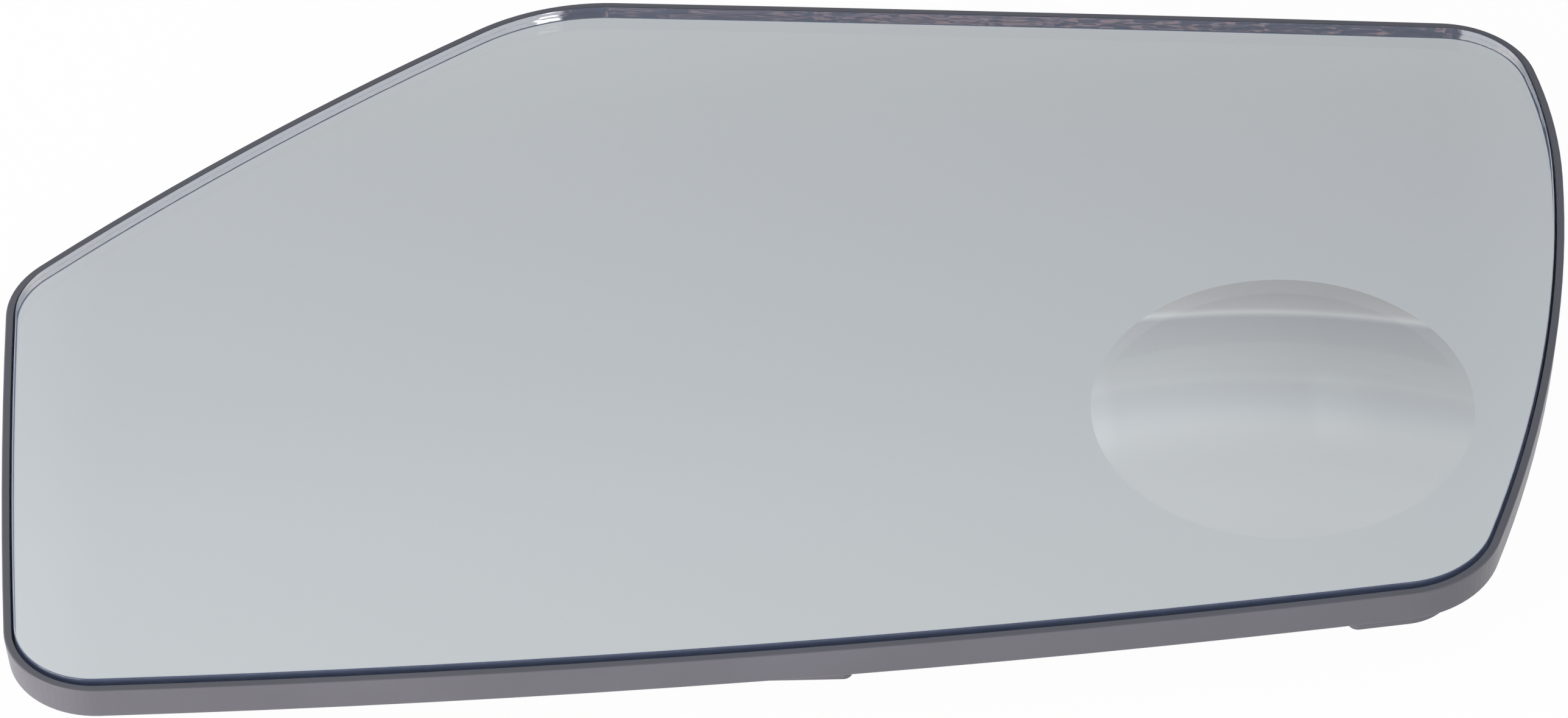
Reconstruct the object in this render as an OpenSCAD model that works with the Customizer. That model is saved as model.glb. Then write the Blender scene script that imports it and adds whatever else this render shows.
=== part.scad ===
// Door mirror glass: a silvered pane with a wide-angle spot, bonded into a clip-on backing plate.
//
// The origin is the centre of the round seat on the rear, in the plane that rests on the
// mirror motor's retainer. +Z points out of the mirror, +X runs along its length and +Y up.
// Lengths are in millimetres and angles in degrees.

/* [Outline] */

// Length between the sharp corners at the two ends, before they are rounded
length = 199.3; // [150:0.1:240]
// Height between the lowest and the highest sharp corner
height = 130.1; // [100:0.1:160]
// Where the seat's centre lies from the middle of that length
seat_right = 0.65; // [-10:0.05:10]
// Where the seat's centre lies from the middle of that height
seat_up = -0.25; // [-10:0.05:10]
// Bottom left corner, in from the left end
low_left_in = 5.7; // [0:0.1:20]
// Bottom right corner, in from the right end
low_right_in = 15; // [0:0.1:30]
// Bottom right corner, up from the lowest corner
low_right_up = 13.6; // [0:0.1:30]
// Top right corner, down from the highest corner
high_right_down = 9.7; // [0:0.1:20]
// Corner between the top edge and the slanting edge, in from the left end
high_left_in = 67.2; // [30:0.1:100]
// Corner between the slanting edge and the left end, up from the lowest corner
mid_left_up = 74.5; // [40:0.1:95]
// How far the bottom edge bows out from a straight line
bottom_bow = 3.1; // [0.2:0.1:8]
// How far the right end bows out
right_bow = 6.5; // [0.2:0.1:12]
// How far the top edge bows out
top_bow = 0.3; // [0.1:0.1:6]
// How far the slanting edge bows out
slant_bow = 2.3; // [0.2:0.1:8]
// How far the left end bows out
left_bow = 0.6; // [0.1:0.1:6]
// Corner radius at the bottom left
low_left_r = 12; // [6:0.5:20]
// Corner radius at the bottom right
low_right_r = 14; // [6:0.5:20]
// Corner radius at the top right
high_right_r = 13; // [6:0.5:20]
// Corner radius where the top edge turns into the slanting edge
high_left_r = 28.5; // [10:0.5:40]
// Corner radius at the left end of the slanting edge
mid_left_r = 12.5; // [6:0.5:20]
// Radius of the shoulder that leads the right end into its top corner
shoulder_r = 84; // [40:1:150]
// How far below the top right corner the shoulder starts
shoulder_down = 30.6; // [16:0.1:60]

/* [Glass] */

// Thickness of the pane
glass_t = 2; // [1.6:0.1:3]
// Radius of the edge's polished rounding in front
front_round_r = 0.3; // [0.1:0.05:0.6]
// Radius of the edge's rounding at the rear
back_round_r = 0.3; // [0.1:0.05:0.5]
// Centre of the wide-angle spot, in from the right end
spot_in = 37.3; // [33:0.1:60]
// Centre of the wide-angle spot, up from the lowest corner
spot_up = 46.6; // [41:0.1:85]
// Diameter of the spot
spot_d = 48; // [30:1:56]
// Radius of curvature of the hollow ground in the pane's rear for the spot
spot_curve_r = 400; // [250:10:800]

/* [Adhesive pad] */

// Thickness of the foam pad that bonds the pane to the plate
pad_t = 1; // [0.6:0.1:1.5]
// How far the pad stops short of the rim's inner wall
pad_margin = 1.4; // [0.5:0.1:5]

/* [Backing plate] */

// Thickness of the plate's floor
floor_t = 1.8; // [1.2:0.1:3]
// Width of the rim's top face
rim_w = 0.95; // [0.8:0.05:3]
// How far the rim's top face lies below the pane's face
rim_drop = 0.15; // [0:0.05:1]
// Gap between the pane's edge and the rim's inner wall, with the pane in the middle
pane_gap = 0.55; // [0.45:0.05:0.8]
// How far the pane is bonded off that middle, toward the straight long edge
pane_up = 0.4; // [0:0.05:0.4]
// Draft of the rim's outer wall, leaning in toward the rear
rim_draft = 3.5; // [0:0.5:6]
// Rounding of the rim's rear edge
rear_edge_r = 0.4; // [0.2:0.05:0.8]
// Rounding of the rim's outer edge in front
front_edge_r = 0.2; // [0.1:0.05:0.4]

/* [Seat and window] */

// Diameter of the centre window, which lets the motor's pivot through
window_d = 40; // [20:1:46]
// Width of the raised ring round the window that rests on the retainer
seat_w = 5; // [2:0.5:7]
// Height of the seat ring and of the rest pads above the plate's rear face
seat_h = 1; // [0.5:0.1:2]

/* [Snap crown] */

// Outer diameter of the motor's retainer that snaps into the crown
retainer_d = 59; // [54:0.5:66]
// Thickness of the retainer's flange
retainer_t = 4.5; // [3:0.1:7]
// Play between the retainer and the crown all round
retainer_play = 0.4; // [0.2:0.05:0.8]
// Number of hooks, with a guide wall between each two
hooks = 6; // [4:1:8]
// Arc of one hook, in degrees
hook_arc = 17; // [10:1:20]
// Wall of a hook
hook_t = 1.6; // [1.2:0.1:2.5]
// How far a hook's nose reaches in past its wall
hook_nose = 1.2; // [0.6:0.1:2]
// Play between the nose and the retainer's flange
nose_play = 0.2; // [0.1:0.05:0.6]
// Height of the flat on the nose
nose_land = 0.8; // [0.4:0.1:1.5]
// Height of the slope that leads the retainer in past the nose
lead_in = 2.4; // [1.5:0.1:4]
// Gap between a hook's nose and the edges of the mould's opening above it
shutoff_gap = 0.3; // [0.2:0.05:0.8]
// Arc of one guide wall, in degrees
guide_arc = 21; // [10:1:23]
// Wall of a guide
guide_t = 2; // [1.5:0.1:3]
// Height of a guide wall below the seat
guide_h = 4; // [2.5:0.1:6]
// Chamfer inside a guide wall's end
guide_chamfer = 0.8; // [0.3:0.1:1.2]

/* [Ribs] */

// Thickness of a rib
rib_t = 1.2; // [0.8:0.1:2]
// Height of a rib above the plate's rear face
rib_h = 2; // [1:0.1:3]
// Distance of the rib that follows the outline from the rim
loop_inset = 9; // [6:0.5:12]
// Run of the slope that stiffens a guide wall along its rib
gusset_run = 9; // [5:0.5:14]
// Gap between the gusset's top and the guide wall's end
gusset_drop = 1; // [0.5:0.1:2]

/* [Rest pads] */

// Width of a rest pad across the rim
rest_w = 4; // [2.5:0.1:6]
// Gap between a rest pad and the foot of the rim's outer wall
rest_inset = 0.4; // [0.2:0.05:1.5]
// Radius of a rest pad's corners
rest_end_r = 1.2; // [0.5:0.1:1.2]
// Length of the straight pad at the middle of each long side
bar_l = 12.5; // [8:0.5:20]
// Right end of the straight pad, from the seat's centre
bar_end_x = 7.5; // [0:0.5:30]
// Length of the curved pad near each right corner
curved_l = 13.5; // [8:0.5:20]
// Right end of the curved pad, in from the right end of the mirror
curved_end_in = 17.5; // [15:0.5:35]
// Radius of the curved pad's outer corner at its right end
curved_nose_r = 7; // [1.2:0.1:9]

/* [Hidden] */

// The outline's sharp corners, from the seat's centre.
left_x = -length / 2 - seat_right;
right_x = left_x + length;
low_y = -height / 2 - seat_up;
high_y = low_y + height;
low_left = [left_x + low_left_in, low_y];
low_right = [right_x - low_right_in, low_y + low_right_up];
high_right = [right_x, high_y - high_right_down];
high_left = [left_x + high_left_in, high_y];
mid_left = [left_x, low_y + mid_left_up];
shoulder_y = high_right[1] - shoulder_down;
spot_x = right_x - spot_in;
spot_y = low_y + spot_up;
curved_end_x = right_x - curved_end_in;

// Levels up the stack, from the seat at zero.
rear_z = seat_h;
tray_z = rear_z + floor_t;
silver_z = tray_z + pad_t;
front_z = silver_z + glass_t;
rim_z = front_z - rim_drop;

// How far each wall lies inside the outline.
pane_inset = rim_w + pane_gap;
pad_inset = rim_w + pad_margin;
draft_inset = (rim_z - front_edge_r - rear_z) * tan(rim_draft);
rest_outer = draft_inset + rest_inset;

// Radii on the rear, from the seat's centre.
window_r = window_d / 2;
seat_r = window_r + seat_w;
crown_r = retainer_d / 2 + retainer_play;
nose_r = crown_r - hook_nose;
guide_r = crown_r + guide_t;

// Heights on the rear, below the seat.
catch_z = -(retainer_t + nose_play);
tip_z = catch_z - nose_land - lead_in;
rib_z = rear_z - rib_h;
pitch = 360 / hooks;

// How deep a raised feature is sunk into the floor that carries it, and what a cut overruns.
bite = min(0.5, floor_t / 2);
over = 1;
// Largest distance between a true arc and its facets.
facet_error = 0.01;

glass_colour = [0.74, 0.78, 0.80];
pad_colour = [0.30, 0.30, 0.31];
plate_colour = [0.16, 0.16, 0.18];

// Each side of the outline is an arc through two corners, and tangent corner arcs join them.

function at(centre, r, angle) = centre + r * [cos(angle), sin(angle)];
function angle_of(v) = atan2(v[1], v[0]);
function turn(from, to) = (to - from + 540) % 360 - 180;

// The circle of a side from p to q that bows out to the right of that line.
function side(p, q, bow) =
    let (chord = norm(q - p),
         r = (chord * chord / 4 + bow * bow) / (2 * bow),
         out = [(q - p)[1], -(q - p)[0]] / chord)
    [(p + q) / 2 + out * (bow - r), r];

// The centre of a corner arc of radius r that touches sides a and b from inside.
function corner_centre(a, b, r, corner) =
    let (ra = a[1] - r,
         rb = b[1] - r,
         d = norm(b[0] - a[0]),
         along = (ra * ra - rb * rb + d * d) / (2 * d),
         across = sqrt(max(ra * ra - along * along, 0)),
         u = (b[0] - a[0]) / d,
         foot = a[0] + u * along,
         p = foot + across * [-u[1], u[0]],
         q = foot - across * [-u[1], u[0]])
    norm(p - corner) < norm(q - corner) ? p : q;

bottom = side(low_left, low_right, bottom_bow);
right = side(low_right, high_right, right_bow);
top = side(high_right, high_left, top_bow);
slant = side(high_left, mid_left, slant_bow);
left = side(mid_left, low_left, left_bow);

// The shoulder touches the right end from inside, at its starting height.
shoulder_turn = asin((shoulder_y - right[0][1]) / right[1]);
shoulder = [at(right[0], right[1] - shoulder_r, shoulder_turn), shoulder_r];

corner_1 = corner_centre(left, bottom, low_left_r, low_left);
corner_2 = corner_centre(bottom, right, low_right_r, low_right);
corner_3 = corner_centre(shoulder, top, high_right_r, high_right);
corner_4 = corner_centre(top, slant, high_left_r, high_left);
corner_5 = corner_centre(slant, left, mid_left_r, mid_left);

// Each arc is its centre, its radius, and the angles where it starts and ends.
function corner_arc(before, centre, r, after) =
    [centre, r, angle_of(centre - before[0]), angle_of(centre - after[0])];
function side_arc(circle, from, to) =
    [circle[0], circle[1], angle_of(from - circle[0]), angle_of(to - circle[0])];

arcs = [
    corner_arc(left, corner_1, low_left_r, bottom),
    side_arc(bottom, corner_1, corner_2),
    corner_arc(bottom, corner_2, low_right_r, right),
    [right[0], right[1], angle_of(corner_2 - right[0]), shoulder_turn],
    [shoulder[0], shoulder_r, shoulder_turn, angle_of(corner_3 - shoulder[0])],
    corner_arc(shoulder, corner_3, high_right_r, top),
    side_arc(top, corner_3, corner_4),
    corner_arc(top, corner_4, high_left_r, slant),
    side_arc(slant, corner_4, corner_5),
    corner_arc(slant, corner_5, mid_left_r, left),
    side_arc(left, corner_5, corner_1)
];

function facets(arc) =
    ceil(abs(turn(arc[2], arc[3])) / (2 * acos(1 - facet_error / arc[1])));

// The outline moved in by a distance, with as many points at any distance.
function outline(inset = 0) = [
    for (arc = arcs)
        let (count = facets(arc), sweep = turn(arc[2], arc[3]))
        for (i = [0:count - 1])
            at(arc[0], arc[1] - inset, arc[2] + sweep * i / count)
];

// The farthest that the outline lies from the seat's centre.
outer_reach = max([for (p = outline()) norm(p)]);

// A solid whose wall follows the outline, through levels of [inset, z] from low to high.
module lofted(levels) {
    count = len(outline());
    rings = len(levels);
    points = [
        for (level = levels)
            for (p = outline(level[0]))
                [p[0], p[1], level[1]]
    ];
    floor_face = [for (i = [0:count - 1]) i];
    roof_face = [for (i = [count - 1:-1:0]) (rings - 1) * count + i];
    walls = [
        for (k = [0:rings - 2])
            for (i = [0:count - 1])
                let (next = (i + 1) % count, low = k * count, high = low + count)
                [low + i, high + i, high + next, low + next]
    ];
    polyhedron(points, concat([floor_face], walls, [roof_face]), convexity = 4);
}

// A prism over the outline moved in.
module prism(inset, low, high) {
    translate([0, 0, low])
        linear_extrude(high - low)
            polygon(outline(inset));
}

// The pane: its edge is ground straight, and both its arrises are rounded a little.

module pane_blank() {
    translate([0, pane_up, 0])
        lofted(concat(
            [for (t = [-90:45:0])
                [pane_inset + back_round_r * (1 - cos(t)), silver_z + back_round_r * (1 + sin(t))]],
            [for (t = [0:30:90])
                [pane_inset + front_round_r * (1 - cos(t)), front_z - front_round_r * (1 - sin(t))]]
        ));
}

// The hollow is silvered with the rest of the rear, so it shows as a convex mirror in front.
module spot_hollow() {
    below = sqrt(spot_curve_r * spot_curve_r - spot_d * spot_d / 4);
    translate([spot_x, spot_y, silver_z - below])
        sphere(r = spot_curve_r, $fn = 256);
}

module mirror_glass() {
    color(glass_colour)
        difference() {
            pane_blank();
            spot_hollow();
        }
}

// The foam pad covers the plate's floor inside the rim, and bonds the pane to it.
module adhesive_pad() {
    color(pad_colour)
        prism(pad_inset, tray_z, silver_z);
}

// The backing plate starts as an outer shell, which leans in toward the rear, with rounded edges.
module shell() {
    edge_z = rear_z + rear_edge_r;
    edge_inset = (rim_z - front_edge_r - edge_z) * tan(rim_draft);
    lofted(concat(
        [for (t = [-90:15:0])
            [edge_inset + rear_edge_r * (1 - cos(t)), edge_z + rear_edge_r * sin(t)]],
        [for (t = [0:30:90])
            [front_edge_r * (1 - cos(t)), rim_z - front_edge_r * (1 - sin(t))]]
    ));
}

module seat_ring() {
    cylinder(r = seat_r, h = rear_z + bite, $fn = 128);
}

// The mould forms a hook's nose through this opening in the floor, and the hook closes its outer side.
module shutoff_opening() {
    spread = hook_arc + 2 * shutoff_gap / crown_r * 180 / PI;
    rotate([0, 0, -spread / 2])
        rotate_extrude(angle = spread, $fn = 180)
            translate([nose_r - shutoff_gap, rear_z - over])
                square([hook_nose + shutoff_gap + hook_t / 2, floor_t + 2 * over]);
}

// The shell with its recess for the pane, its seat and its openings.
module tray() {
    difference() {
        union() {
            shell();
            seat_ring();
        }
        prism(rim_w, tray_z, rim_z + over);
        translate([0, 0, -over])
            cylinder(r = window_r, h = tray_z + 2 * over, $fn = 128);
        for (i = [0:hooks - 1])
            rotate([0, 0, pitch * i])
                shutoff_opening();
    }
}

// A hook flexes out as the retainer goes in, and catches behind its flange.
module hook() {
    rotate([0, 0, -hook_arc / 2])
        rotate_extrude(angle = hook_arc, $fn = 180)
            polygon([
                [crown_r, tray_z],
                [crown_r, catch_z],
                [nose_r, catch_z],
                [nose_r, catch_z - nose_land],
                [crown_r, tip_z],
                [crown_r + hook_t, tip_z],
                [crown_r + hook_t, tray_z]
            ]);
}

module guide_wall() {
    rotate([0, 0, -guide_arc / 2])
        rotate_extrude(angle = guide_arc, $fn = 180)
            polygon([
                [crown_r, rear_z + bite],
                [crown_r, guide_chamfer - guide_h],
                [crown_r + guide_chamfer, -guide_h],
                [guide_r, -guide_h],
                [guide_r, rear_z + bite]
            ]);
}

// A rib runs from behind a guide wall to the loop, and climbs the wall as a gusset.
module rib(reach) {
    start = guide_r - guide_t / 2;
    rotate([90, 0, 0])
        translate([0, 0, -rib_t / 2])
            linear_extrude(rib_t)
                polygon([
                    [start, rear_z + bite],
                    [start, gusset_drop - guide_h],
                    [guide_r, gusset_drop - guide_h],
                    [guide_r + gusset_run, rib_z],
                    [reach, rib_z],
                    [reach, rear_z + bite]
                ]);
}

module ribs() {
    intersection() {
        for (i = [0:hooks - 1])
            rotate([0, 0, pitch * (i + 0.5)])
                rib(outer_reach);
        prism(loop_inset + rib_t / 2, tip_z, tray_z);
    }
}

module loop_rib() {
    difference() {
        prism(loop_inset, rib_z, rear_z + bite);
        prism(loop_inset + rib_t, rib_z - over, rear_z + bite + over);
    }
}

// The height of a long side at x, at the pads' outer wall. way is -1 for the bottom, 1 for the top.
function long_side_y(x, way) =
    lookup(x, [for (p = outline(rest_outer)) if (p[1] * way > 0) p]);

// A straight pad, in line with the length of the mirror, just inside its long side.
module straight_pad(way) {
    start_x = bar_end_x - bar_l;
    outer_y = way * min(way * long_side_y(start_x, way), way * long_side_y(bar_end_x, way));
    translate([start_x, min(outer_y, outer_y - way * rest_w)])
        square([bar_l, rest_w]);
}

// The plate inside the pads' outer wall, cut off at the curved pads' right end with round corners.
module pad_field() {
    offset(r = curved_nose_r, $fn = 96)
        offset(delta = -curved_nose_r)
            intersection() {
                polygon(outline(rest_outer));
                translate([curved_end_x - 2 * outer_reach, -outer_reach])
                    square([2 * outer_reach, 2 * outer_reach]);
            }
}

// A pad that follows the outline, and turns in at its right end.
module curved_pad(way) {
    intersection() {
        difference() {
            pad_field();
            polygon(outline(rest_outer + rest_w));
        }
        translate([curved_end_x - curved_l, way > 0 ? 0 : -outer_reach])
            square([curved_l, outer_reach]);
    }
}

module rest_pads() {
    linear_extrude(rear_z + bite)
        offset(r = rest_end_r, $fn = 48)
            offset(delta = -rest_end_r)
                for (way = [-1, 1]) {
                    straight_pad(way);
                    curved_pad(way);
                }
}

module backing_plate() {
    color(plate_colour) {
        tray();
        loop_rib();
        ribs();
        rest_pads();
        for (i = [0:hooks - 1]) {
            rotate([0, 0, pitch * i])
                hook();
            rotate([0, 0, pitch * (i + 0.5)])
                guide_wall();
        }
    }
}

mirror_glass();
adhesive_pad();
backing_plate();
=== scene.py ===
"""A car door mirror glass, lying on its back on a plain white table."""
import math

import bmesh
import bpy
from mathutils import Matrix, Vector


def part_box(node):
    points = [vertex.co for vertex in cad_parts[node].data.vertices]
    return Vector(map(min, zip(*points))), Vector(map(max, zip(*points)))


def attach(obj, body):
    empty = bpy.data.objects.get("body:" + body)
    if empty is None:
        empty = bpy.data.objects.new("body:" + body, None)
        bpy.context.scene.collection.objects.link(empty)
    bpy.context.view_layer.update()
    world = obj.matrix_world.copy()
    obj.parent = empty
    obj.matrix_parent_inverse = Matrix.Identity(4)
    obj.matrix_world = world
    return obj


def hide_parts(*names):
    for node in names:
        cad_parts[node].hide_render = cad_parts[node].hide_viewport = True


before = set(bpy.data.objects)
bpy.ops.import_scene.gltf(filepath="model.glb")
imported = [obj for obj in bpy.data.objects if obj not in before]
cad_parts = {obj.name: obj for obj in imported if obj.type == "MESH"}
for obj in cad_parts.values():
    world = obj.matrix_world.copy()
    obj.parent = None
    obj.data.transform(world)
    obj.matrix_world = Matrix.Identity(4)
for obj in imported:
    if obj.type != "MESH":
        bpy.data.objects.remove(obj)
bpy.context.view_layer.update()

# Camera
# It stands off the near long side, about 0.93 m away, with a long lens. It looks down at
# 42 degrees and is rolled a little to the right.
camera_at = Vector((0.01656, -0.69317, 0.62121))
camera_right = Vector((0.999608, 0.0, -0.027992))
camera_forward = Vector((-0.018701, 0.744089, -0.667818))
camera_up = camera_right.cross(camera_forward)
bpy.ops.object.camera_add(location=camera_at)
camera = bpy.context.object
camera.name = "camera"
camera.rotation_euler = Matrix((camera_right, camera_up, -camera_forward)).transposed().to_euler()
camera.data.sensor_width = 36
camera.data.lens = 167.7
camera.data.clip_start = 0.05
camera.data.clip_end = 50
bpy.context.scene.camera = camera
bpy.context.scene.view_settings.view_transform = "Standard"

# Backing plate
# One injection moulding in black plastic: a shallow tray with a narrow rim round the glass, and
# on its rear a seat, hooks and guide walls for the mirror motor, ribs and small rest pads.
plate_dark = "505158"
plate_light = "5B5C65"
cloud_size = 0.018
grain_size = 0.00018

# A Mix node takes its two colours on the first two of these sockets and gives the mix on the third.
colour_a, colour_b, colour_out = 6, 7, 2


def linear(hex_colour):
    """A colour written as sRGB hex, as the renderer's linear values."""
    parts = [int(hex_colour[i:i + 2], 16) / 255 for i in (0, 2, 4)]
    parts = [c / 12.92 if c <= 0.04045 else ((c + 0.055) / 1.055) ** 2.4 for c in parts]
    return (*parts, 1.0)


def add_node(tree, kind, inputs=(), **settings):
    """A node with its settings, and its inputs given as values or as sockets to link."""
    made = tree.nodes.new(kind)
    for name, value in settings.items():
        setattr(made, name, value)
    for name, value in dict(inputs).items():
        if isinstance(value, bpy.types.NodeSocket):
            tree.links.new(value, made.inputs[name])
        else:
            made.inputs[name].default_value = value
    return made


def new_material(name):
    """A node material with only its output, its nodes, and that output's surface socket."""
    material = bpy.data.materials.new(name)
    material.use_nodes = True
    material.node_tree.nodes.clear()
    output = add_node(material.node_tree, "ShaderNodeOutputMaterial")
    return material, material.node_tree, output.inputs["Surface"]


# The mould is spark-eroded, and its fine grain spreads the light, so the black plastic looks dark
# grey with a soft satin sheen. The real grain is about 0.05 mm wide. Here it is 0.18 mm, so that
# it shows. The tone drifts a little over some 18 mm, as the melt does in a large flat moulding.
plastic, nodes, surface = new_material("black_moulded_plastic")
place = add_node(nodes, "ShaderNodeTexCoord").outputs["Object"]
cloud = add_node(nodes, "ShaderNodeTexNoise",
                 {"Vector": place, "Scale": 1 / cloud_size, "Detail": 3.0})
grain = add_node(nodes, "ShaderNodeTexNoise",
                 {"Vector": place, "Scale": 1 / grain_size, "Detail": 2.0, "Roughness": 0.6})
tone = add_node(nodes, "ShaderNodeMix",
                {"Factor": cloud.outputs["Fac"], colour_a: linear(plate_dark),
                 colour_b: linear(plate_light)}, data_type="RGBA")
satin = add_node(nodes, "ShaderNodeMapRange",
                 {"Value": grain.outputs["Fac"], "From Min": 0.3, "From Max": 0.7,
                  "To Min": 0.30, "To Max": 0.42})
dents = add_node(nodes, "ShaderNodeBump",
                 {"Height": grain.outputs["Fac"], "Strength": 0.12, "Distance": 0.00003})
shader = add_node(nodes, "ShaderNodeBsdfPrincipled",
                  {"Base Color": tone.outputs[colour_out], "Roughness": satin.outputs["Result"],
                   "Normal": dents.outputs["Normal"], "IOR": 1.5})
nodes.links.new(shader.outputs["BSDF"], surface)

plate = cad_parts["backing_plate"]
plate.data.materials.clear()
plate.data.materials.append(plastic)

# Adhesive pad
# A die-cut sheet of closed-cell foam, 1 mm thick, with adhesive on both faces. It covers the
# tray's floor, and the glass is pressed onto it.
# The darker of these two tones is painted shade, laid into the hollows of the pits.
foam_pit_shade = "2B2B2D"
foam_light = "47474A"
cell_size = 0.0003

# Cells 0.3 mm wide are cut open at the surface, so the foam looks matt and finely pitted. Each pit
# is also painted darker toward its middle, as painted shade in its hollow.
foam, nodes, surface = new_material("closed_cell_foam")
place = add_node(nodes, "ShaderNodeTexCoord").outputs["Object"]
cells = add_node(nodes, "ShaderNodeTexVoronoi", {"Vector": place, "Scale": 1 / cell_size})
tone = add_node(nodes, "ShaderNodeMix",
                {"Factor": cells.outputs["Distance"], colour_a: linear(foam_pit_shade),
                 colour_b: linear(foam_light)}, data_type="RGBA")
pits = add_node(nodes, "ShaderNodeBump",
                {"Height": cells.outputs["Distance"], "Strength": 0.4, "Distance": 0.00005})
shader = add_node(nodes, "ShaderNodeBsdfPrincipled",
                  {"Base Color": tone.outputs[colour_out], "Roughness": 0.9,
                   "Normal": pits.outputs["Normal"]})
nodes.links.new(shader.outputs["BSDF"], surface)

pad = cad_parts["adhesive_pad"]
pad.data.materials.clear()
pad.data.materials.append(foam)

# Mirror glass
# A pane of 2 mm float glass, cut to the outline, with its edge ground straight and both arrises
# broken. A shallow hollow ground in its rear makes the wide-angle spot, and the whole rear is
# silvered and painted. The pane is bonded onto the foam, with an even gap to the rim.
front_round = 0.0002
front_steps = 6
rear_round = 0.00001
rear_steps = 1
end_growth = 0.0003      # how far the pane reaches past the plain solid at each end
paint_t = 0.00003
spot_r = 0.024
spot_curve_r = 0.4
spot_x = 0.0617
spot_y = -0.0172         # 1 mm nearer the straight long edge than in the plain solid
arc_points = 2048
spin_steps = 128
weld = 1e-6
wall_lean = 0.1          # the most that a face of the edge's wall looks forward or back
face_on = 0.99           # the least that a face of the front or rear does
soft_below = math.radians(25)
even_weight = 100

low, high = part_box("mirror_glass")
low.z += paint_t
middle_z = (low.z + high.z) / 2
bpy.ops.object.select_all(action="DESELECT")
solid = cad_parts["mirror_glass"]
solid.select_set(True)
bpy.context.view_layer.objects.active = solid
bpy.ops.object.duplicate()
pane = bpy.context.object
pane.name = "silvered_pane"


def select_faces(piece, test):
    """In edit mode, selects the faces for which test(face) is true, and no others."""
    bpy.ops.mesh.select_mode(type="FACE")
    bpy.ops.mesh.select_all(action="DESELECT")
    shape = bmesh.from_edit_mesh(piece.data)
    for face in shape.faces:
        face.select_set(bool(test(face)))
    bmesh.update_edit_mesh(piece.data)


def select_verts(piece, test):
    """In edit mode, selects the vertices for which test(place) is true, and no others."""
    bpy.ops.mesh.select_mode(type="VERT")
    bpy.ops.mesh.select_all(action="DESELECT")
    shape = bmesh.from_edit_mesh(piece.data)
    for vert in shape.verts:
        vert.select_set(bool(test(vert.co)))
    shape.select_flush_mode()
    bmesh.update_edit_mesh(piece.data)


# Of a copy of the plain solid only the straight band of the edge is kept, and it is closed in
# front and behind. Each of the two faces is then drawn inward in steps along a quarter round.
# These two are the only faces with more than four corners.
bpy.ops.object.mode_set(mode="EDIT")
bpy.ops.mesh.select_all(action="SELECT")
bpy.ops.mesh.remove_doubles(threshold=weld)
select_faces(pane, lambda face: abs(face.normal.z) > wall_lean)
bpy.ops.mesh.delete(type="FACE")
bpy.ops.mesh.select_all(action="SELECT")
bpy.ops.transform.resize(value=(1 + 2 * end_growth / (high.x - low.x), 1, 1),
                         center_override=(low + high) / 2)
bpy.ops.mesh.tris_convert_to_quads(face_threshold=math.radians(1), shape_threshold=math.pi)
heights = [vert.co.z for vert in bmesh.from_edit_mesh(pane.data).verts]
rear_shift = low.z + rear_round - min(heights)
front_shift = high.z - front_round - max(heights)
for side, shift in ((-1, rear_shift), (1, front_shift)):
    select_verts(pane, lambda place: side * (place.z - middle_z) > 0)
    bpy.ops.transform.translate(value=(0, 0, shift))
    bpy.ops.mesh.edge_face_add()
bpy.ops.mesh.select_all(action="SELECT")
bpy.ops.mesh.normals_make_consistent(inside=False)
for side, run, steps in ((1, front_round, front_steps), (-1, rear_round, rear_steps)):
    select_faces(pane, lambda face: len(face.verts) > 4 and side * face.normal.z > face_on)
    for i in range(steps):
        start, end = math.pi / 2 * i / steps, math.pi / 2 * (i + 1) / steps
        bpy.ops.mesh.inset(thickness=run * (math.cos(start) - math.cos(end)),
                           depth=run * (math.sin(end) - math.sin(start)))

# The rear face gives way to one with a hole, and the hollow's arc is spun round to fill that.
select_faces(pane, lambda face: len(face.verts) > 4 and face.normal.z < -face_on)
bpy.ops.mesh.delete(type="ONLY_FACE")
bpy.ops.object.mode_set(mode="OBJECT")

centre_z = low.z - math.sqrt(spot_curve_r ** 2 - spot_r ** 2)
bpy.ops.mesh.primitive_circle_add(vertices=arc_points, radius=spot_curve_r,
                                  rotation=(math.pi / 2, 0, 0),
                                  location=(spot_x, spot_y, centre_z))
hollow = bpy.context.object
bpy.ops.object.transform_apply(location=True, rotation=True, scale=True)
bpy.ops.object.mode_set(mode="EDIT")
for away in ((0, 0, 1), (1, 0, 0)):
    bpy.ops.mesh.select_all(action="SELECT")
    bpy.ops.mesh.bisect(plane_co=(spot_x, spot_y, low.z), plane_no=away, clear_inner=True,
                        threshold=weld)
bpy.ops.mesh.select_all(action="SELECT")
bpy.ops.mesh.spin(steps=spin_steps, angle=2 * math.pi, center=(spot_x, spot_y, 0), axis=(0, 0, 1))
bpy.ops.mesh.select_all(action="SELECT")
bpy.ops.mesh.remove_doubles(threshold=weld)
bpy.ops.object.mode_set(mode="OBJECT")

bpy.ops.object.select_all(action="DESELECT")
hollow.select_set(True)
pane.select_set(True)
bpy.context.view_layer.objects.active = pane
bpy.ops.object.join()
bpy.ops.object.mode_set(mode="EDIT")
bpy.ops.mesh.select_all(action="DESELECT")
bpy.ops.mesh.select_mode(type="EDGE")
bpy.ops.mesh.select_non_manifold(use_wire=False, use_multi_face=False, use_non_contiguous=False,
                                 use_verts=False)
bpy.ops.mesh.mark_sharp()
bpy.ops.mesh.fill()
bpy.ops.mesh.select_all(action="SELECT")
bpy.ops.mesh.normals_make_consistent(inside=False)
bpy.ops.object.mode_set(mode="OBJECT")

bpy.ops.object.shade_smooth_by_angle(angle=soft_below, keep_sharp_edges=True)
evened = pane.modifiers.new("evened_normals", "WEIGHTED_NORMAL")
evened.keep_sharp = True
evened.weight = even_weight
bpy.ops.object.modifier_apply(modifier=evened.name)

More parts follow.
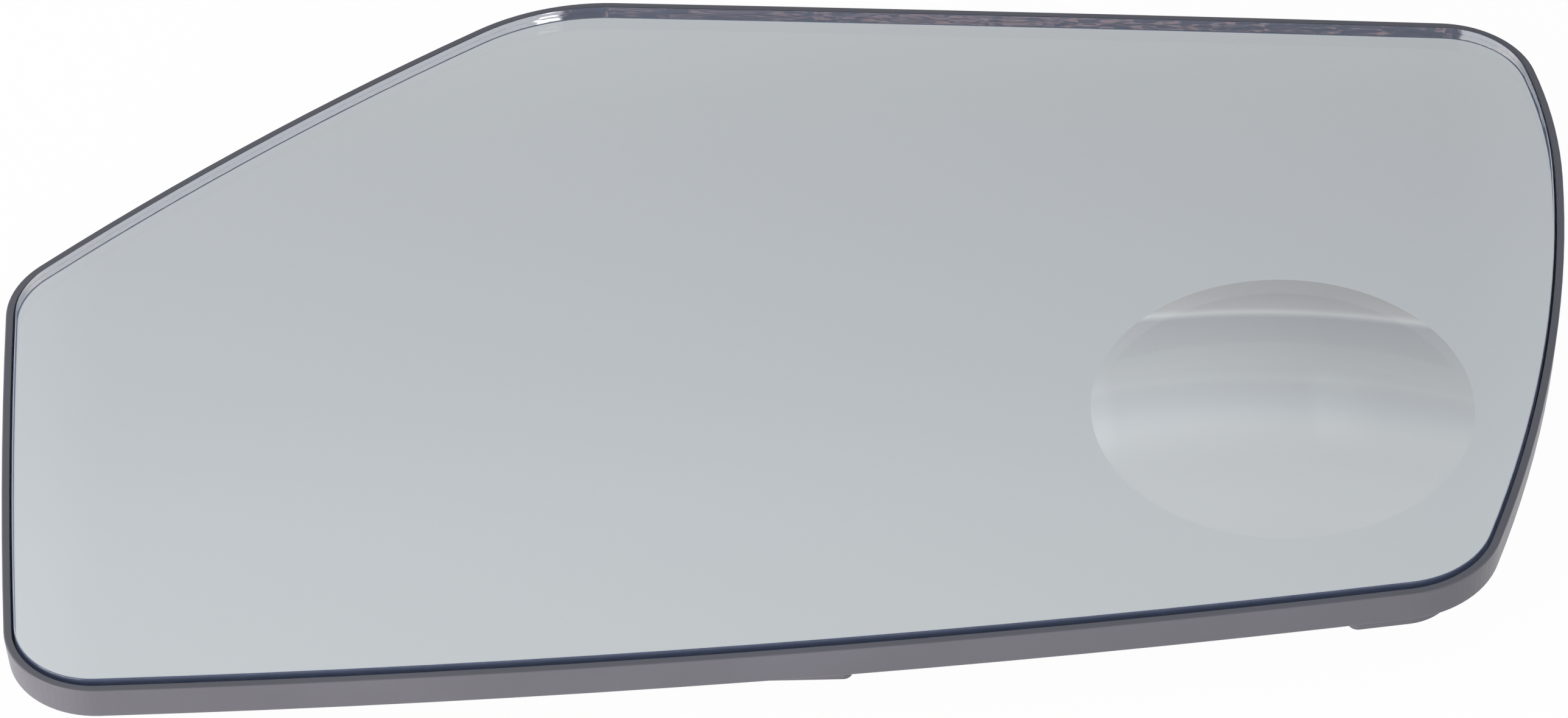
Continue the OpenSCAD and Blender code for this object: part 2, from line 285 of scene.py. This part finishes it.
# Float glass is smooth and clear: the eye sees through it, with a faint sharp reflection on top.
glass_ior = 1.52
glass_tint = "FCFEFD"
clear_glass, nodes, surface = new_material("clear_float_glass")
shader = add_node(nodes, "ShaderNodeBsdfPrincipled",
                  {"Base Color": linear(glass_tint), "Roughness": 0.0, "IOR": glass_ior,
                   "Transmission Weight": 1.0})
nodes.links.new(shader.outputs["BSDF"], surface)

# Silver laid down on the rear of the glass takes its smoothness, and gives the sharp mirror image.
silver_colour = "E8E7E9"
silvering, nodes, surface = new_material("silvering")
shader = add_node(nodes, "ShaderNodeBsdfPrincipled",
                  {"Base Color": linear(silver_colour), "Roughness": 0.0, "Metallic": 1.0})
nodes.links.new(shader.outputs["BSDF"], surface)

# The edge is ground and then polished, which leaves it clear but a little hazy and uneven, in
# waves about 2.5 mm long and 1.6 mm high. They break the bright band along the far edge up.
wave_length = 0.0025
wave_height = 0.0016
edge_tint = "F0F6F6"
# The haze's scatter is real, but its blue tint is painted light: it stands for the bluish light
# from above that shows in the edge.
haze_and_painted_blue = "9CB0DA"
haze_share = 0.3
through_share = 0.6
ground_edge, nodes, surface = new_material("ground_glass_edge")
place = add_node(nodes, "ShaderNodeTexCoord").outputs["Object"]
stretch = add_node(nodes, "ShaderNodeMapping",
                   {"Vector": place, "Scale": (1 / wave_length, 1 / wave_length, 1 / wave_height)})
waves = add_node(nodes, "ShaderNodeTexNoise",
                 {"Vector": stretch.outputs["Vector"], "Scale": 1.0, "Detail": 0.0})
ripple = add_node(nodes, "ShaderNodeBump",
                  {"Height": waves.outputs["Fac"], "Strength": 0.3, "Distance": 0.0002})
polished = add_node(nodes, "ShaderNodeBsdfPrincipled",
                    {"Base Color": linear(edge_tint), "Roughness": 0.02, "IOR": glass_ior,
                     "Transmission Weight": 1.0, "Normal": ripple.outputs["Normal"]})
haze = add_node(nodes, "ShaderNodeBsdfDiffuse", {"Color": linear(haze_and_painted_blue)})
glow_through = add_node(nodes, "ShaderNodeBsdfTranslucent", {"Color": linear(haze_and_painted_blue)})
scatter = add_node(nodes, "ShaderNodeMixShader",
                   {"Fac": through_share, 1: haze.outputs["BSDF"], 2: glow_through.outputs["BSDF"]})
edge_look = add_node(nodes, "ShaderNodeMixShader",
                     {"Fac": haze_share, 1: polished.outputs["BSDF"],
                      2: scatter.outputs["Shader"]})
nodes.links.new(edge_look.outputs["Shader"], surface)

pane.data.materials.clear()
front, rear, edge = range(3)
for finish in (clear_glass, silvering, ground_edge):
    pane.data.materials.append(finish)
for face in pane.data.polygons:
    if face.normal.z < -face_on:
        face.material_index = rear
    elif face.normal.z < face_on:
        face.material_index = edge
    else:
        face.material_index = front

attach(pane, "root")
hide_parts("mirror_glass")

# Table
# A large plain board painted matt white, which the plate's hooks stand on. The camera and the
# pane see it at nearly full white, and it keeps the soft shadow of the mirror.
table_r = 8
table_gap = 0.00002
table_colour = "F2F2F4"
full_white = "FFFFFF"
seen_white = 0.97
mirrored_white = 0.9

table_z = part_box("backing_plate")[0].z - table_gap
bpy.ops.mesh.primitive_circle_add(vertices=96, radius=table_r, fill_type="NGON",
                                  location=(0, 0, table_z))
table = bpy.context.object
table.name = "floor"
board, nodes, surface = new_material("white_table")
path = add_node(nodes, "ShaderNodeLightPath")
direct = add_node(nodes, "ShaderNodeMath", {0: path.outputs["Is Camera Ray"], 1: seen_white},
                  operation="MULTIPLY")
mirrored = add_node(nodes, "ShaderNodeMath",
                    {0: path.outputs["Is Glossy Ray"], 1: mirrored_white}, operation="MULTIPLY")
share = add_node(nodes, "ShaderNodeMath",
                 {0: direct.outputs["Value"], 1: mirrored.outputs["Value"]}, operation="MAXIMUM")
paint = add_node(nodes, "ShaderNodeBsdfDiffuse", {"Color": linear(table_colour)})
glow = add_node(nodes, "ShaderNodeEmission", {"Color": linear(full_white), "Strength": 1.0})
both = add_node(nodes, "ShaderNodeMixShader",
                {"Fac": share.outputs["Value"], 1: paint.outputs["BSDF"],
                 2: glow.outputs["Emission"]})
nodes.links.new(both.outputs["Shader"], surface)
table.data.materials.append(board)

# Room
# Behind the table stands a pale wall, which the pane mirrors. It grows darker toward its foot and
# ends in a thin bright ledge, with a panel and a dark floor below. On the near side the room is
# white, with a curtain and one lamp.
wall = (
    (0, "2E3442"), (24.6, "343A47"), (25.1, "B5B7B8"), (27.6, "B8BABB"), (29.8, "C2C4C5"),
    (30.5, "D9DBDC"), (31.2, "B9BCC0"), (34.9, "C0C4C7"), (38.4, "C6CACD"), (39.2, "CACED1"),
    (39.9, "C6CACD"), (40.6, "C7CBCF"), (42.0, "CBD0D4"), (43.0, "D1D6D9"), (44.4, "D6DADD"),
    (48.0, "D3D7DA"), (56.0, "D8DCDF"), (61.0, "CCD0D3"), (66.0, "686C74"),
)
ceiling_colour = "50555E"
low_left_colour = "DAD6DE"
side_colour = "F2F0F3"
near_colours = ("E9E8EA", "E4E8EE")
curtain_colours = ("5C6070", "A08D91")
lamp_towards = (0.335, -0.64, 0.69)
lamp_strength = 2.5
value_a, value_b, value_out = 2, 3, 0      # a Mix node's sockets for plain values

world = bpy.data.worlds.new("studio")
bpy.context.scene.world = world
world.use_nodes = True
nodes = world.node_tree
nodes.nodes.clear()
way = add_node(nodes, "ShaderNodeTexCoord").outputs["Generated"]
split = add_node(nodes, "ShaderNodeSeparateXYZ", {"Vector": way})
across, along, up = split.outputs["X"], split.outputs["Y"], split.outputs["Z"]
off_centre = add_node(nodes, "ShaderNodeMath", {0: across}, operation="ABSOLUTE").outputs["Value"]
lamp_way = add_node(nodes, "ShaderNodeVectorMath", {0: way, 1: lamp_towards}, operation="DISTANCE")
folds = add_node(nodes, "ShaderNodeTexNoise", {"Vector": way, "Scale": 14.0, "Detail": 1.0})
seen = add_node(nodes, "ShaderNodeLightPath").outputs["Is Camera Ray"]

# The wall's colours stand at their heights, in degrees above the table as the pane sees them.
ramp = add_node(nodes, "ShaderNodeValToRGB", {"Fac": up})
while len(ramp.color_ramp.elements) < len(wall):
    ramp.color_ramp.elements.new(1.0)
for stop, (height, _) in zip(ramp.color_ramp.elements, wall):
    stop.position = math.sin(math.radians(height))
for stop, (_, shade) in zip(ramp.color_ramp.elements, wall):
    stop.color = linear(shade)

# Where each part of the room lies: soft steps from 0 to 1 along one measure of the direction,
# and what comes of two of them.
part = {"three_quarters": 0.75, "seen": seen}
for name, measure, start, end in (
    ("ceiling", up, 0.94, 0.98),
    ("left", across, -0.2, -0.5), ("low", up, 0.42, 0.34),
    ("sides", off_centre, 0.55, 0.75),
    ("near", along, 0.05, -0.2), ("near_height", up, 0.3, 0.8),
    ("folds", folds.outputs["Fac"], 0.50, 0.70),
    ("curtain_left", across, -0.42, -0.34), ("curtain_right", across, 0.28, 0.22),
    ("curtain_foot", up, 0.30, 0.40), ("curtain_head", up, 0.92, 0.86),
    ("lamp", lamp_way.outputs["Value"], 0.115, 0.07),
    ("beyond", off_centre, 0.16, 0.3), ("high", up, 0.67, 0.77),
    ("level_from", up, 0.60, 0.64), ("level_to", up, 0.74, 0.70),
    ("right_from", across, 0.07, 0.088), ("right_to", across, 0.15, 0.095),
    ("left_from", across, -0.110, -0.124), ("left_to", across, -0.19, -0.13),
):
    part[name] = add_node(nodes, "ShaderNodeMapRange",
                          {"Value": measure, "From Min": start, "From Max": end},
                          interpolation_type="SMOOTHSTEP").outputs["Result"]
for name, first, operation, second in (
    ("low_left", "left", "MULTIPLY", "low"),
    ("curtain_width", "curtain_left", "MULTIPLY", "curtain_right"),
    ("curtain_drop", "curtain_foot", "MULTIPLY", "curtain_head"),
    ("curtain", "curtain_width", "MULTIPLY", "curtain_drop"),
    ("mostly_high", "high", "MULTIPLY", "three_quarters"),
    ("steady", "beyond", "MAXIMUM", "mostly_high"),
    ("level", "level_from", "MULTIPLY", "level_to"),
    ("right_end", "right_from", "MULTIPLY", "right_to"),
    ("left_end", "left_from", "MULTIPLY", "left_to"),
    ("either_end", "right_end", "MAXIMUM", "left_end"),
    ("ends", "level", "MULTIPLY", "either_end"),
):
    part[name] = add_node(nodes, "ShaderNodeMath", {0: part[first], 1: part[second]},
                          operation=operation).outputs["Value"]

# The room's colours, one part laid over another. What the camera sees directly is plain white.
colour = {name: linear(text) for name, text in (
    ("ceiling", ceiling_colour), ("low_left", low_left_colour), ("sides", side_colour),
    ("near_low", near_colours[0]), ("near_high", near_colours[1]),
    ("fold_dark", curtain_colours[0]), ("fold_light", curtain_colours[1]),
    ("white", full_white),
)}
colour["wall"] = ramp.outputs["Color"]
for name, below, where, above in (
    ("wall", "wall", "ceiling", "ceiling"),
    ("wall", "wall", "low_left", "low_left"),
    ("wall", "wall", "sides", "sides"),
    ("curtain", "fold_dark", "folds", "fold_light"),
    ("near", "near_low", "near_height", "near_high"),
    ("near", "near", "curtain", "curtain"),
    ("near", "near", "lamp", "white"),
    ("room", "wall", "near", "near"),
    ("room", "room", "seen", "white"),
):
    colour[name] = add_node(nodes, "ShaderNodeMix",
                            {"Factor": part[where], colour_a: colour[below],
                             colour_b: colour[above]}, data_type="RGBA").outputs[colour_out]

# The wall is brighter on the left than on the right, more so low down, and a little brighter at
# both ends of the pane. The lamp is brighter than white.
drift = add_node(nodes, "ShaderNodeMapRange",
                 {"Value": across, "From Min": -0.14, "From Max": 0.1,
                  "To Min": 1.12, "To Max": 0.94})
even = add_node(nodes, "ShaderNodeMix",
                {"Factor": part["steady"], value_a: drift.outputs["Result"], value_b: 0.99},
                data_type="FLOAT")
lift = add_node(nodes, "ShaderNodeMapRange",
                {"Value": part["ends"], "To Min": 1.0, "To Max": 1.05})
wall_level = add_node(nodes, "ShaderNodeMath",
                      {0: even.outputs[value_out], 1: lift.outputs["Result"]},
                      operation="MULTIPLY")
level = add_node(nodes, "ShaderNodeMix",
                 {"Factor": seen, value_a: wall_level.outputs["Value"], value_b: 1.0},
                 data_type="FLOAT")
boost = add_node(nodes, "ShaderNodeMapRange",
                 {"Value": part["lamp"], "To Min": 1.0, "To Max": lamp_strength})
strength = add_node(nodes, "ShaderNodeMath",
                    {0: level.outputs[value_out], 1: boost.outputs["Result"]},
                    operation="MULTIPLY")
sky = add_node(nodes, "ShaderNodeBackground",
               {"Color": colour["room"], "Strength": strength.outputs["Value"]})
add_node(nodes, "ShaderNodeOutputWorld", {"Surface": sky.outputs["Background"]})

# Lamps
# Four plain studio lamps with soft boxes, aimed at the mirror. Three stand low round the near
# side, to light the plate's wall, and a weak one hangs overhead.
for name, place, size, power, shade in (
    ("overhead", (-0.2, -0.1, 1.0), (0.7, 0.7), 0.3, "E4EEFF"),
    ("front_fill", (0.0, -1.4, 0.26), (1.8, 0.5), 4.6, "FFF2EC"),
    ("left_fill", (-0.6, -0.5, 0.18), (0.7, 0.3), 8.5, "FFF2EA"),
    ("right_fill", (1.3, -0.5, 0.26), (1.2, 0.5), 1.8, "FFFAFC"),
):
    bpy.ops.object.light_add(type="AREA", location=place)
    lamp = bpy.context.object
    lamp.name = name
    lamp.data.shape = "RECTANGLE"
    lamp.data.size, lamp.data.size_y = size
    lamp.data.energy = power
    lamp.data.color = linear(shade)[:3]
    lamp.rotation_euler = (-Vector(place)).to_track_quat("-Z", "Y").to_euler()
